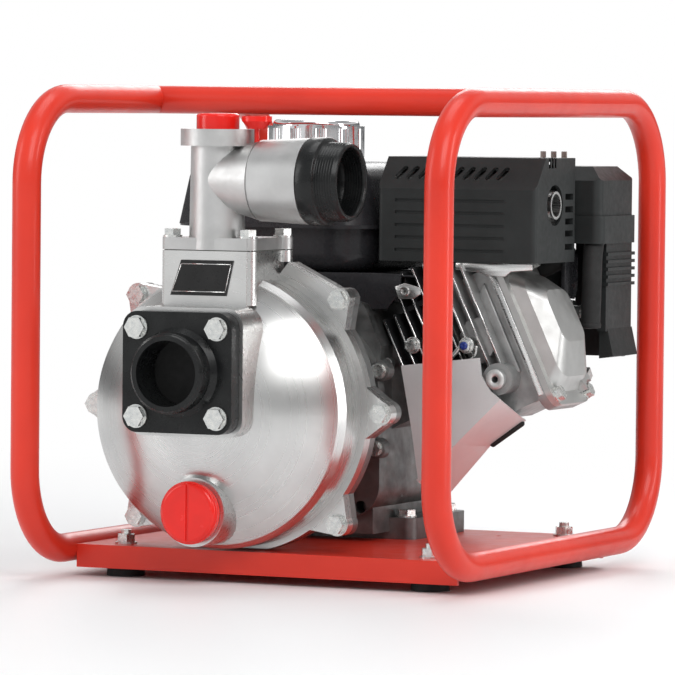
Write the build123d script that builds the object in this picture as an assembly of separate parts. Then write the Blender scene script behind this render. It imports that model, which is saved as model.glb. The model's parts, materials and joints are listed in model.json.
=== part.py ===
from build123d import *
from math import cos, sin, radians
import os

# Gas engine trash pump: a tube roll frame, a self-priming pump and a single-cylinder engine.
#
# Millimetres, +Z up, origin at the centre of the bounding box's bottom face.  -Y is the suction
# side, +X is the discharge side.  The engine's crank axis is the pump axis and runs along Y.
# Distances called b, or "back", are measured rearwards from the middle of the front legs.

# ---------------------------------------------------------------- frame
TUBE_OD = 22.2
TUBE_WALL = 2.0
HOOP_X = 173.0            # distance of each side hoop's plane from the middle
HOOP_LENGTH = 427.0       # front leg to rear leg, centre to centre
HOOP_HEIGHT = 350.0       # bottom run to top run, centre to centre
BEND_R = 65.0
FOOT_HEIGHT = 21.5
RUN_Z = 21.0              # centre of the bottom runs above the floor
STUB_REACH = 35.0         # suction stub's mouth in front of the front legs
PLATE_T = 3.0
PLATE_TOP = FOOT_HEIGHT + PLATE_T
PLATE_FRONT = 66.0
PLATE_REAR = 358.0
LIP_DEPTH = 18.0
FRONT_Y = STUB_REACH - (STUB_REACH + HOOP_LENGTH + TUBE_OD / 2) / 2
CROSS_TUBE_BACK = 220.0
FOOT_SPOTS = [(-130.0, 88.0), (130.0, 88.0), (-147.0, 339.0), (135.5, 339.0)]
STUD_R = 4.0

# ---------------------------------------------------------------- pump
PUMP_X = -35.0
CRANK_Z = 133.0
THREAD_R = 30.15          # 2 inch pipe thread, major diameter 60.3
PIPE_BORE_R = 25.0
BOWL_R = 106.5
CREASE_R = 103.0
WALL = 6.0
JOINT_PLANE = 98.0        # casing to adapter
FLANGE_R = 111.0
FLANGE_CUT_Z = PLATE_TOP + 1.0
LUG_CIRCLE_R = 122.0
LUG_R = 9.0
LUG_ANGLES = [0, 45, 135, 180, 225, 315]
SUCTION_Z = 165.0
SUCTION_FACE = -3.0       # casing boss face
SUCTION_PLATE = 92.0
SUCTION_PLATE_T = 12.0
SUCTION_BOLT = 33.75      # half the bolt spacing
DRAIN_Z = 57.5
NECK_FRONT = 31.0
NECK_REAR = 109.0
NECK_HALF = 38.0
NECK_TOP = 256.0
RISER_PLATE_T = 9.2
GASKET_T = 0.8
RISER_BACK = 51.0
RISER_R = 20.5
RISER_FOOT_R = 21.5
RISER_FLANGE_R = 28.5
RISER_TOP = 349.0
ELBOW_Z = 310.0
BRANCH_R = 30.4           # where the cone of the branch meets the socket
BRANCH_END_X = 2.0
SOCKET_R = 33.0
SOCKET_END_X = 45.0
NIPPLE_TAIL_R = 29.0
NIPPLE_COLLAR_X = 60.0
NIPPLE_MOUTH_X = 78.0
VENT_X = -2.0
VENT_BACK = 51.0
PAD_R = 7.7               # pads around the neck's four bolts
SHAFT_R = 10.0
RUNNING = 0.05            # radial clearance of a shaft in its bore

# ---------------------------------------------------------------- engine
CYL_BACK = 262.0          # cylinder axis behind the front legs
CYL_TILT = 25.0
PLUG_BACK = 307.0
CARB_X = 108.0
CARB_Z = 199.0
CHOKE_PIVOT = (329.0, 205.0)   # behind the front legs, height
FUEL_PIVOT = (318.0, 172.0)
TANK_DRAFT = 12.0
CAP_X = -62.0             # fuel cap
CAP_BACK = 285.0
FIN_PITCH = 9.7
FIN_T = 2.4
CYLINDER_FOOT = 84.0      # crankcase to cylinder, along the cylinder axis
FIRST_FIN = 87.0
FIN_COUNT = 9
HEAD_PLANE = 138.0        # along the cylinder axis from the crank
COVER_PLANE = 187.0
SHROUD_T = 1.6
SHROUD_FRONT = 207.0
SHROUD_KNEE = 240.0
SHROUD_REAR = 262.0
ENGINE_BOLTS = [(-125.0, 250.0), (37.0, 250.0), (-125.0, 330.0), (37.0, 330.0)]
FAN_R = 80.0
FAN_FRONT = 332.0
FAN_REAR = 394.0
RECOIL_R = 70.0
RECOIL_REAR = 418.0


def back(distance):
    """Y of a point that far behind the front legs."""
    return FRONT_Y + distance


# ---------------------------------------------------------------- helpers
def block(x0, x1, b0, b1, z0, z1):
    """Box from its limits; b is the distance behind the front legs."""
    centre = ((x0 + x1) / 2, back((b0 + b1) / 2), (z0 + z1) / 2)
    return Pos(*centre) * Box(x1 - x0, b1 - b0, z1 - z0)


def rod_y(x, z, b0, b1, r):
    return Pos(x, back((b0 + b1) / 2), z) * Rot(90, 0, 0) * Cylinder(r, abs(b1 - b0))


def rod_z(x, b, z0, z1, r):
    return Pos(x, back(b), (z0 + z1) / 2) * Cylinder(r, z1 - z0)


def rod_x(b, z, x0, x1, r):
    return Pos((x0 + x1) / 2, back(b), z) * Rot(0, 90, 0) * Cylinder(r, x1 - x0)


def turned(points, x=PUMP_X, z=CRANK_Z):
    """Solid turned about a line along Y; points are (radius, distance behind the front legs)."""
    outline = Polyline(*[(r, back(b)) for r, b in points], close=True)
    return Pos(x, 0, z) * revolve(make_face(outline), axis=Axis.Y)


def hexagon(across, height):
    return extrude(RegularPolygon(across / 2, 6, major_radius=False), height)


def hex_bolt(across, head, shank_r, shank):
    """Bolt with its head's seat at the origin: head up +Z, shank down."""
    body = hexagon(across, head) + Pos(0, 0, -shank / 2) * Cylinder(shank_r, shank)
    return body + Pos(0, 0, head * 0.12) * Cylinder(across * 0.62, head * 0.24)


def facing_front(x, b, z):
    """Place something whose +Z should point to -Y."""
    return Pos(x, back(b), z) * Rot(90, 0, 0)


def group(solids):
    return Compound(children=list(solids))


def on_cylinder(u, v, b):
    """Point given along the cylinder axis (u), across it upwards (v) and behind the front legs."""
    t = radians(CYL_TILT)
    x = PUMP_X + u * cos(t) - v * sin(t)
    z = CRANK_Z + u * sin(t) + v * cos(t)
    return x, back(b), z


def cyl_frame(u, v, b):
    """Local frame whose +Z runs out along the cylinder axis, +X is down across it, +Y is back."""
    return Pos(*on_cylinder(u, v, b)) * Rot(0, 90 - CYL_TILT, 0)


def cyl_block(u0, u1, v0, v1, b0, b1):
    frame = cyl_frame((u0 + u1) / 2, (v0 + v1) / 2, (b0 + b1) / 2)
    return frame * Box(v1 - v0, b1 - b0, u1 - u0)


def quarter_bend(section, bend_r):
    """Quarter turn about the local Y axis, from straight down at -X to straight out at +Z."""
    return revolve(Pos(-bend_r, 0) * section, axis=Axis.Y, revolution_arc=90)


def save(node, shape):
    export_step(shape, f"parts/{node}.step")


# ---------------------------------------------------------------- frame parts
def hoop(side):
    """Closed rounded-rectangle tube standing fore and aft."""
    half_l = HOOP_LENGTH / 2 - BEND_R
    half_h = HOOP_HEIGHT / 2 - BEND_R
    ring = Circle(TUBE_OD / 2) - Circle(TUBE_OD / 2 - TUBE_WALL)
    run = extrude(ring, half_l, both=True)
    leg = extrude(ring, half_h, both=True)
    bend = Rot(0, 0, 90) * quarter_bend(ring, BEND_R)
    hoop_solid = None
    for up in (-1, 1):
        straight = Pos(0, 0, up * HOOP_HEIGHT / 2) * Rot(90, 0, 0) * run
        hoop_solid = straight if hoop_solid is None else hoop_solid + straight
    for fore in (-1, 1):
        hoop_solid += Pos(0, fore * HOOP_LENGTH / 2, 0) * leg
    for turn, y, z in ((0, -1, 1), (90, -1, -1), (180, 1, -1), (270, 1, 1)):
        hoop_solid += Pos(0, y * half_l, z * half_h) * Rot(turn, 0, 0) * bend
    middle_y = back(HOOP_LENGTH / 2)
    return Pos(side * HOOP_X, middle_y, RUN_Z + HOOP_HEIGHT / 2) * hoop_solid


def cross_tube():
    z = RUN_Z + HOOP_HEIGHT
    tube = rod_x(CROSS_TUBE_BACK, z, -HOOP_X, HOOP_X, TUBE_OD / 2)
    tube -= rod_x(CROSS_TUBE_BACK, z, -HOOP_X, HOOP_X, TUBE_OD / 2 - TUBE_WALL)
    for side in (-1, 1):
        tube -= rod_y(side * HOOP_X, z, CROSS_TUBE_BACK - 40, CROSS_TUBE_BACK + 40, TUBE_OD / 2)
    return tube


def base_plate():
    half = HOOP_X - TUBE_OD / 2 + 0.1
    plate = block(-half, half, PLATE_FRONT, PLATE_REAR, FOOT_HEIGHT, PLATE_TOP)
    for edge in (PLATE_FRONT, PLATE_REAR - PLATE_T):
        plate += block(-half, half, edge, edge + PLATE_T, PLATE_TOP - LIP_DEPTH, PLATE_TOP)
    for x, b in FOOT_SPOTS + ENGINE_BOLTS:
        plate -= rod_z(x, b, 0, 60, STUD_R + 0.5)
    plate -= rod_z(90, 312, 0, 60, 2.5)
    for side in (-1, 1):
        plate -= rod_y(side * HOOP_X, RUN_Z, 40, 400, TUBE_OD / 2)
    return plate


def rubber_feet():
    feet = []
    for x, b in FOOT_SPOTS:
        foot = Pos(x, back(b), FOOT_HEIGHT / 2) * Cone(15.0, 13.5, FOOT_HEIGHT)
        feet.append(foot - rod_z(x, b, 9, 30, STUD_R))
    return group(feet)


def foot_bolts():
    bolts = []
    for x, b in FOOT_SPOTS:
        nut = Pos(x, back(b), PLATE_TOP + 1.5) * hexagon(13.0, 6.0)
        washer = rod_z(x, b, PLATE_TOP, PLATE_TOP + 1.5, 8.5)
        bolts.append(rod_z(x, b, 9, PLATE_TOP + 11, STUD_R) + nut + washer)
    return group(bolts)


# ---------------------------------------------------------------- pump parts
def bowl(inset):
    """Front bowl of the casing: a domed face, a crease, then a short barrel."""
    nose = (0, back(8 + inset))
    over = (58 - inset * 0.5, back(20 + inset))
    crease = (CREASE_R - inset, back(52))
    dome = ThreePointArc(nose, over, crease)
    barrel = Polyline(crease, (BOWL_R - inset, back(60)), (BOWL_R - inset, back(JOINT_PLANE)),
                      (0, back(JOINT_PLANE)), nose)
    return Pos(PUMP_X, 0, CRANK_Z) * revolve(make_face(dome + barrel), axis=Axis.Y)


def lug_ring(b0, b1):
    """Bolt flange with six pointed lugs."""
    ring = rod_y(PUMP_X, CRANK_Z, b0, b1, FLANGE_R)
    tip_x = LUG_CIRCLE_R + 2
    for angle in LUG_ANGLES:
        wedge = Polyline((90, -34), (90, 34), (tip_x, LUG_R), (tip_x, -LUG_R), close=True)
        web = extrude(make_face(wedge), b1 - b0)
        tip = Pos(LUG_CIRCLE_R, 0, (b1 - b0) / 2) * Cylinder(LUG_R, b1 - b0)
        lug = Pos(PUMP_X, back(b1), CRANK_Z) * Rot(90, 0, 0) * Rot(0, 0, angle) * (web + tip)
        ring += lug
    shoulder = Polyline((PUMP_X, CRANK_Z + 60), (PUMP_X + 43, NECK_TOP - 9),
                        (PUMP_X + 96, CRANK_Z + 88), close=True)
    flat = extrude(Plane.XZ * make_face(shoulder), -(b1 - b0))
    ring += Pos(0, back(b0), 0) * flat
    return ring - block(-250, 250, 0, 300, -50, FLANGE_CUT_Z)


def lug_spots():
    for angle in LUG_ANGLES:
        x = PUMP_X + LUG_CIRCLE_R * cos(radians(angle))
        yield x, CRANK_Z + LUG_CIRCLE_R * sin(radians(angle))


def neck_bolt_spots():
    for side in (-1, 1):
        for b in (NECK_FRONT + 8, NECK_REAR - 8):
            yield PUMP_X + side * (NECK_HALF - 6), b


def pump_casing():
    boss = fillet(Box(98, 34, 98).edges().filter_by(Axis.Y), 14)
    solid = bowl(0) + Pos(PUMP_X, back(SUCTION_FACE + 17), SUCTION_Z) * boss
    solid += rod_y(PUMP_X, DRAIN_Z, 13, 60, 26.5)
    solid += lug_ring(JOINT_PLANE - 10, JOINT_PLANE)
    neck = block(PUMP_X - NECK_HALF + 3, PUMP_X + NECK_HALF - 3, NECK_FRONT, JOINT_PLANE - 1, 205, NECK_TOP)
    solid += neck
    solid += block(PUMP_X - NECK_HALF + 3, PUMP_X + NECK_HALF - 3, NECK_FRONT, NECK_REAR, NECK_TOP - 9,
                   NECK_TOP)
    for x, b in neck_bolt_spots():
        foot = 215 if b < JOINT_PLANE else NECK_TOP - 9
        solid += rod_z(x, b, foot, NECK_TOP, PAD_R)
    solid -= bowl(WALL)
    solid -= rod_y(PUMP_X, SUCTION_Z, -10, 45, 33)
    solid -= rod_y(PUMP_X, DRAIN_Z, 0, 60, 14.1)
    solid -= rod_z(PUMP_X, 64, 190, NECK_TOP + 5, 22)
    for x, z in lug_spots():
        solid -= rod_y(x, z, 60, 120, 4.2)
    for x, b in neck_bolt_spots():
        solid -= rod_z(x, b, NECK_TOP - 22, NECK_TOP + 1, 3.0)
    for x, z in suction_bolt_spots():
        solid -= rod_y(x, z, SUCTION_FACE - 1, SUCTION_FACE + 20, 4.0)
    solid -= rod_x(3.4, SUCTION_Z + 31, PUMP_X - 24, PUMP_X + 24, 2.05)
    return solid - block(PUMP_X - 11, PUMP_X + 11, SUCTION_FACE - 1, 12, SUCTION_Z + 20, SUCTION_Z + 35)


def suction_bolt_spots():
    for sx in (-1, 1):
        for sz in (-1, 1):
            yield PUMP_X + sx * SUCTION_BOLT, SUCTION_Z + sz * SUCTION_BOLT


def suction_gasket():
    plate = fillet(Box(SUCTION_PLATE, 1.0, SUCTION_PLATE).edges().filter_by(Axis.Y), 12)
    solid = Pos(PUMP_X, back(SUCTION_FACE - 0.5), SUCTION_Z) * plate
    solid -= rod_y(PUMP_X, SUCTION_Z, -20, 20, 30)
    for x, z in suction_bolt_spots():
        solid -= rod_y(x, z, -20, 20, 4.0)
    return solid


def suction_flange():
    plate = fillet(Box(SUCTION_PLATE, SUCTION_PLATE_T, SUCTION_PLATE).edges().filter_by(Axis.Y), 12)
    face = SUCTION_FACE - 1.0
    solid = Pos(PUMP_X, back(face - SUCTION_PLATE_T / 2), SUCTION_Z) * plate
    mouth = -STUB_REACH
    front = face - SUCTION_PLATE_T
    stub = turned([(0, mouth), (THREAD_R - 1.5, mouth), (THREAD_R, mouth + 2), (THREAD_R, front - 4),
                   (THREAD_R + 4, front), (THREAD_R + 4, face - 4), (0, face - 4)], z=SUCTION_Z)
    solid += stub
    solid -= rod_y(PUMP_X, SUCTION_Z, mouth - 1, face + 1, PIPE_BORE_R)
    for x, z in suction_bolt_spots():
        solid -= rod_y(x, z, -30, 20, 4.5)
    return solid


def suction_bolts():
    seat = SUCTION_FACE - 1.0 - SUCTION_PLATE_T
    return group(facing_front(x, seat, z) * hex_bolt(14.5, 6.0, 4.0, 28) for x, z in suction_bolt_spots())


def check_flap():
    """Rubber flapper moulded on a steel hinge rod at its top."""
    disc = rod_y(PUMP_X, SUCTION_Z, -2.4, 2.6, 29)
    ear = block(PUMP_X - 9, PUMP_X + 9, -0.6, 4.4, SUCTION_Z + 22, SUCTION_Z + 31)
    weight = rod_y(PUMP_X, SUCTION_Z, 2.6, 7.6, 19)
    rod = rod_x(3.4, SUCTION_Z + 31, PUMP_X - 23, PUMP_X + 23, 2.0)
    return disc + ear + weight + rod


def drain_plug():
    head = rod_y(PUMP_X, DRAIN_Z, 3, 12.6, 23.2)
    head = fillet(head.edges().group_by(Axis.Y)[0], 3.5)
    head -= block(PUMP_X - 1.2, PUMP_X + 1.2, 2, 4.2, DRAIN_Z - 24, DRAIN_Z + 24)
    return head + rod_y(PUMP_X, DRAIN_Z, 12.6, 34, 14.05)


def badge():
    """Blank parallelogram plate on the front of the neck."""
    outline = Polyline((-26, -14), (21, -14), (27, 13), (-17, 13), close=True)
    plate = extrude(make_face(outline), 1.2)
    return facing_front(PUMP_X - 3, NECK_FRONT - 0.1, 236) * plate


def cone_x(x0, x1, r0, r1):
    """Cone on the branch's axis, from one X to another."""
    return Pos((x0 + x1) / 2, back(RISER_BACK), ELBOW_Z) * Rot(0, 90, 0) * Cone(r0, r1, x1 - x0)


def riser_elbow():
    """Upright pipe with a filler flange on top and a conical branch that opens to the right."""
    bottom = NECK_TOP + GASKET_T
    plate_top = bottom + RISER_PLATE_T
    flange_z = RISER_TOP - 12.4
    half = NECK_HALF - 3
    solid = block(PUMP_X - half, PUMP_X + half, NECK_FRONT, NECK_REAR, bottom, plate_top)
    for x, b in neck_bolt_spots():
        solid += rod_z(x, b, bottom, plate_top, PAD_R)
    middle = (bottom + flange_z) / 2
    solid += Pos(PUMP_X, back(RISER_BACK), middle) * Cone(RISER_FOOT_R, RISER_R, flange_z - bottom)
    solid += rod_z(PUMP_X, RISER_BACK, flange_z - 0.5, RISER_TOP, RISER_FLANGE_R)
    solid += cone_x(PUMP_X, BRANCH_END_X + 0.5, RISER_R - 0.3, BRANCH_R)
    solid += rod_x(RISER_BACK, ELBOW_Z, BRANCH_END_X, BRANCH_END_X + 2.5, BRANCH_R - 1.2)
    solid += cone_x(BRANCH_END_X + 2, SOCKET_END_X, BRANCH_R + 0.6, SOCKET_R)
    solid -= cone_x(PUMP_X + 6, SOCKET_END_X + 1, PIPE_BORE_R - 10, PIPE_BORE_R - 2)
    solid -= rod_x(RISER_BACK, ELBOW_Z, SOCKET_END_X - 16, SOCKET_END_X + 1, NIPPLE_TAIL_R)
    solid -= rod_z(PUMP_X, RISER_BACK, bottom - 1, ELBOW_Z, RISER_R - 4)
    solid -= rod_z(PUMP_X, RISER_BACK, ELBOW_Z - 10, RISER_TOP + 1, 13)
    solid -= rod_z(VENT_X, VENT_BACK, ELBOW_Z + 10, 400, 2.0)
    for x, b in neck_bolt_spots():
        solid -= rod_z(x, b, plate_top, plate_top + 8, 8.2)
        solid -= rod_z(x, b, 250, plate_top + 0.5, 3.5)
    return solid


def riser_gasket():
    half = NECK_HALF - 3
    sheet = block(PUMP_X - half, PUMP_X + half, NECK_FRONT, NECK_REAR, NECK_TOP, NECK_TOP + GASKET_T)
    sheet -= rod_z(PUMP_X, 64, 250, 260, 23)
    for x, b in neck_bolt_spots():
        sheet -= rod_z(x, b, 250, 260, 3.5)
    return sheet


def riser_bolts():
    seat = NECK_TOP + GASKET_T + RISER_PLATE_T
    return group(Pos(x, back(b), seat) * hex_bolt(12.0, 6.5, 3.0, 18.5) for x, b in neck_bolt_spots())


def discharge_nipple():
    nipple = rod_x(RISER_BACK, ELBOW_Z, SOCKET_END_X, NIPPLE_COLLAR_X, SOCKET_R + 0.7)
    nipple += rod_x(RISER_BACK, ELBOW_Z, SOCKET_END_X - 15, SOCKET_END_X + 1, NIPPLE_TAIL_R)
    nipple += rod_x(RISER_BACK, ELBOW_Z, NIPPLE_COLLAR_X - 1, NIPPLE_MOUTH_X - 1.5, THREAD_R)
    nipple += rod_x(RISER_BACK, ELBOW_Z, NIPPLE_MOUTH_X - 2, NIPPLE_MOUTH_X, THREAD_R - 1.2)
    return nipple - rod_x(RISER_BACK, ELBOW_Z, 0, 100, PIPE_BORE_R)


def filler_cap():
    cap = rod_z(PUMP_X, RISER_BACK, RISER_TOP, RISER_TOP + 12, 16.5)
    cap = fillet(cap.edges().group_by(Axis.Z)[-1], 2.5)
    return cap + rod_z(PUMP_X, RISER_BACK, RISER_TOP - 12, RISER_TOP, 12.95)


def vent_knob():
    stem = rod_z(VENT_X, VENT_BACK, ELBOW_Z + 16, 350, 1.95)
    flare = Pos(VENT_X, back(VENT_BACK), 352.3) * Cone(6.5, 11.5, 6.0)
    rim = rod_z(VENT_X, VENT_BACK, 355, 359, 11.5)
    return stem + flare + rim


def casing_o_ring():
    tore = Torus(BOWL_R - 9, 1.4)
    return Pos(PUMP_X, back(JOINT_PLANE + 1.4), CRANK_Z) * Rot(90, 0, 0) * tore


def casing_adapter():
    """Rear cover of the casing with the bell that reaches the engine."""
    solid = lug_ring(JOINT_PLANE, JOINT_PLANE + 9)
    solid += turned([(0, 98), (86, 98), (86, 107), (66, 114), (58, 172), (76, 172), (76, 180), (0, 180)])
    solid -= turned([(0, 110), (59, 112), (51, 172), (51, 181), (0, 181)])
    solid -= rod_y(PUMP_X, CRANK_Z, 90, 115, 17.0)
    solid -= turned([(BOWL_R - 11, 97), (BOWL_R - 7, 97), (BOWL_R - 7, 100.8), (BOWL_R - 11, 100.8)])
    for angle in (45, 135, 225, 315):
        window = Box(200, 40, 40)
        cut = Pos(PUMP_X, back(141), CRANK_Z) * Rot(0, angle, 0) * Pos(100, 0, 0) * window
        solid -= cut
    for x, z in lug_spots():
        solid -= rod_y(x, z, 90, 120, 3.4)
    for x, z in adapter_bolt_spots():
        solid -= rod_y(x, z, 165, 185, 4.2)
    return solid


def adapter_bolt_spots():
    for sx in (-1, 1):
        for sz in (-1, 1):
            yield PUMP_X + sx * 47.5, CRANK_Z + sz * 47.5


def casing_bolts():
    seat = JOINT_PLANE - 10
    return group(facing_front(x, seat, z) * hex_bolt(13.0, 6.0, 3.4, 18) for x, z in lug_spots())


def volute_insert():
    solid = turned([(0, 52), (74, 52), (78, 60), (78, 98), (0, 98)])
    solid -= turned([(0, 57), (62, 57), (62, 99), (0, 99)])
    solid -= rod_y(PUMP_X, CRANK_Z, 45, 60, 27)
    return solid - block(PUMP_X + 10, PUMP_X + 58, 60, 95, CRANK_Z, CRANK_Z + 90)


def impeller():
    """Two-vane open trash impeller screwed on the shaft end."""
    solid = turned([(0, 64), (12, 64), (17, 72), (17, 96), (0, 96)])
    solid += rod_y(PUMP_X, CRANK_Z, 89, 95, 54)
    for turn_angle in (0, 180):
        arc = ThreePointArc((14, 0), (40, 20), (53, -4))
        strip = make_face(offset(arc, 3.0, side=Side.BOTH))
        vane = extrude(strip, 27)
        solid += Pos(PUMP_X, back(90), CRANK_Z) * Rot(90, 0, 0) * Rot(0, 0, turn_angle) * vane
    return solid - rod_y(PUMP_X, CRANK_Z, 70, 100, SHAFT_R)


def seal_seat():
    return turned([(SHAFT_R + 1, 101), (17.0, 101), (17.0, 110), (SHAFT_R + 1, 110)])


def seal_ring():
    return turned([(SHAFT_R, 96.2), (15, 96.2), (15, 100.8), (SHAFT_R, 100.8)])


# ---------------------------------------------------------------- engine parts
def crankcase():
    body = block(-108, 36, 199, 322, 44, 214)
    body = fillet(body.edges().filter_by(Axis.Y), 26)
    foot = block(-137, 49, 237, 343, PLATE_TOP, PLATE_TOP + 17)
    foot = fillet(foot.edges().filter_by(Axis.Z), 8)
    solid = body + foot + block(-100, 28, 205, 330, PLATE_TOP + 6, 60)
    solid += cyl_block(30, 90, -48, 38, 222, 302)
    solid -= cyl_block(CYLINDER_FOOT, 200, -120, 140, 190, 345)
    solid -= rod_y(PUMP_X, CRANK_Z, 205, 314, 62)
    solid -= rod_y(PUMP_X, CRANK_Z, 190, 206, 56)
    solid -= rod_y(PUMP_X, CRANK_Z, 300, 340, 12 + RUNNING)
    solid -= cyl_frame(60, 0, CYL_BACK) * Cylinder(31, 60)
    for x, b in ENGINE_BOLTS:
        solid -= rod_z(x, b, 0, 60, 4.2)
    solid -= dipstick_axis() * Pos(0, 0, -10) * Cylinder(9.1, 40)
    solid -= rod_y(20, 52, 190, 215, 5.0)
    return solid


def side_cover():
    solid = turned([(0, 188), (76, 188), (76, 199), (0, 199)])
    solid += turned([(0, 180), (72, 180), (72, 189), (0, 189)])
    for x, z in cover_bolt_spots():
        solid += rod_y(x, z, 188, 199, 8)
    solid -= turned([(0, 193), (54, 193), (54, 200), (0, 200)])
    solid -= rod_y(PUMP_X, CRANK_Z, 170, 210, SHAFT_R + RUNNING)
    for x, z in cover_bolt_spots():
        solid -= rod_y(x, z, 180, 205, 3.2)
    for x, z in adapter_bolt_spots():
        solid -= rod_y(x, z, 175, 189.5, 4.0)
    return solid


def cover_bolt_spots():
    for angle in (20, 70, 110, 160, 205, 335):
        yield PUMP_X + 80 * cos(radians(angle)), CRANK_Z + 80 * sin(radians(angle))


def valve_bolt_frames():
    for v, b in ((34, 232), (34, 290), (-78, 232), (-78, 290)):
        yield cyl_frame(COVER_PLANE + 5, v, b)


def engine_cover_bolts():
    bolts = [facing_front(x, 188, z) * hex_bolt(10.0, 6.0, 3.2, 9) for x, z in cover_bolt_spots()]
    bolts += [frame * hex_bolt(10.0, 6.5, 3.0, 9) for frame in valve_bolt_frames()]
    return group(bolts)


def adapter_bolts():
    return group(facing_front(x, 172, z) * hex_bolt(12.0, 5.0, 3.9, 14) for x, z in adapter_bolt_spots())


def cylinder():
    solid = cyl_frame(111, 0, CYL_BACK) * Cylinder(37, 54)
    for i in range(FIN_COUNT - 3):
        u = FIRST_FIN + i * FIN_PITCH
        top = 32 if i < 2 else 60
        solid += cyl_block(u, u + FIN_T, -48, top, 215, 299)
    for b in (222, 294):
        solid += cyl_block(84, HEAD_PLANE, -46, -30, b - 5, b + 5)
    solid += cyl_block(FIRST_FIN + 2 * FIN_PITCH, HEAD_PLANE, 30, 34, 220, 296)
    return solid - cyl_frame(111, 0, CYL_BACK) * Cylinder(30, 60)


def head_gasket():
    sheet = cyl_block(HEAD_PLANE, HEAD_PLANE + 1.0, -46, 46, 219, 305)
    return sheet - cyl_frame(HEAD_PLANE, 0, CYL_BACK) * Cylinder(30, 10)


def cylinder_head():
    base = HEAD_PLANE + 1.0
    solid = cyl_block(base, COVER_PLANE - 7, -76, 36, 229, 299)
    for i in range(FIN_COUNT - 3, FIN_COUNT):
        u = FIRST_FIN + i * FIN_PITCH
        solid += cyl_block(u, u + FIN_T, -48, 46, 215, 299)
    solid += cyl_block(base, base + 12, 14, 42, 290, 318)
    solid -= block(77.9, 106.1, 249.9, 270.1, 235.9, 300)
    solid += rocker_plate(COVER_PLANE - 7, 7)
    solid += facing_front(*boss_place()) * Cylinder(12.5, 18)
    solid += facing_front(*boss_place()) * Pos(0, 0, 8) * Cylinder(8, 12)
    solid -= facing_front(*boss_place()) * Pos(0, 0, 8) * Cylinder(2.6, 16)
    solid -= cyl_frame(base, 0, CYL_BACK) * Cylinder(27, 16)
    solid -= cyl_block(COVER_PLANE - 26, COVER_PLANE + 1, -68, 28, 238, 290)
    for frame in valve_bolt_frames():
        solid -= frame * Pos(0, 0, -10) * Cylinder(3.0, 18)
    solid -= spark_place() * Pos(0, 0, -4) * Cylinder(6.0, 20)
    solid -= spark_place() * Pos(0, 0, 25) * Cylinder(10.3, 50)
    return solid


def boss_place():
    """Middle of the head's lower lifting boss."""
    return 130.5, 221.0, 155.5


def rocker_plate(u, thick):
    sheet = cyl_frame(u + thick / 2, -22, 261) * Box(128, 74, thick)
    return fillet(sheet.edges().filter_by(lambda e: abs(e.length - thick) < 0.01), 14)


def valve_cover():
    """Pressed cover: rounded flange, then a crown that narrows in flat facets."""
    solid = rocker_plate(COVER_PLANE, 5)
    base = cyl_frame(COVER_PLANE + 4.5, -24, 261) * RectangleRounded(104, 60, 13)
    shoulder = cyl_frame(COVER_PLANE + 15, -25, 262) * RectangleRounded(84, 58, 13)
    crown = cyl_frame(COVER_PLANE + 26, -20, 263) * RectangleRounded(44, 46, 11)
    solid += loft([base, shoulder, crown], ruled=True)
    solid += cyl_frame(COVER_PLANE + 6, -70, 286) * Cylinder(9, 12)
    inner_a = cyl_frame(COVER_PLANE - 1, -24, 261) * RectangleRounded(96, 52, 9)
    inner_b = cyl_frame(COVER_PLANE + 12, -25, 262) * RectangleRounded(78, 50, 9)
    inner_c = cyl_frame(COVER_PLANE + 23, -20, 263) * RectangleRounded(38, 40, 8)
    solid -= loft([inner_a, inner_b, inner_c], ruled=True)
    for frame in valve_bolt_frames():
        solid -= frame * Pos(0, 0, -6) * Cylinder(3.0, 30)
        solid -= frame * Pos(0, 0, 10) * Cylinder(8.0, 20)
    return solid


def shroud_strip(points, b):
    """Thin band along a line in an upright plane, at that distance back."""
    inner = [(x - SHROUD_T, z + SHROUD_T) for x, z in reversed(points)]
    return Plane((0, back(b), 0), x_dir=(1, 0, 0), z_dir=(0, 1, 0)) * make_face(
        Polyline(*[(x, -z) for x, z in points + inner], close=True))


def cylinder_shroud():
    """Bright cover under the cylinder: an upright face, a facet that turns under, then a tucked rim."""
    crease = [(66, 73), (97, 103), (135, 140)]
    belly = [(72, 55), (113, 101), (143, 122)]
    tucked = [(64, 56), (104, 101), (134, 121)]
    face = Polyline((50, 164), (117, 172), (119, 158), (127, 146), (135, 140), (97, 103), (66, 73), (60, 112),
                    close=True)
    sheet = Pos(0, back(SHROUD_FRONT), 0) * extrude(Plane.XZ * make_face(face), -SHROUD_T)
    sheet += loft([shroud_strip(crease, SHROUD_FRONT), shroud_strip(belly, SHROUD_KNEE)], ruled=True)
    sheet += loft([shroud_strip(belly, SHROUD_KNEE), shroud_strip(tucked, SHROUD_REAR)], ruled=True)
    return sheet


def spark_place():
    return cyl_frame(HEAD_PLANE + 13, 28, PLUG_BACK)


def spark_plug():
    solid = Pos(0, 0, -2) * Cylinder(5.95, 12)
    solid += hexagon(17.0, 8)
    solid += Pos(0, 0, 17) * Cylinder(4.0, 20)
    return spark_place() * solid


def plug_cap():
    """Rubber cap pushed over the plug, with a rounded elbow at its end."""
    shell = Pos(0, 0, 33) * Cylinder(7.5, 48) - Pos(0, 0, 18) * Cylinder(4.05, 20)
    return spark_place() * (shell + Pos(0, 0, 57) * Sphere(7.5))


def crankshaft():
    solid = rod_y(PUMP_X, CRANK_Z, 70, 246, SHAFT_R)
    for b0, b1 in ((240, 252), (272, 284)):
        web = rod_y(PUMP_X, CRANK_Z, b0, b1, 40)
        solid += web - block(PUMP_X - 60, PUMP_X - 20, b0, b1, CRANK_Z + 16, CRANK_Z + 60)
    solid += rod_y(PUMP_X + 21, CRANK_Z, 250, 274, 13)
    return solid + rod_y(PUMP_X, CRANK_Z, 278, 378, 12)


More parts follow.
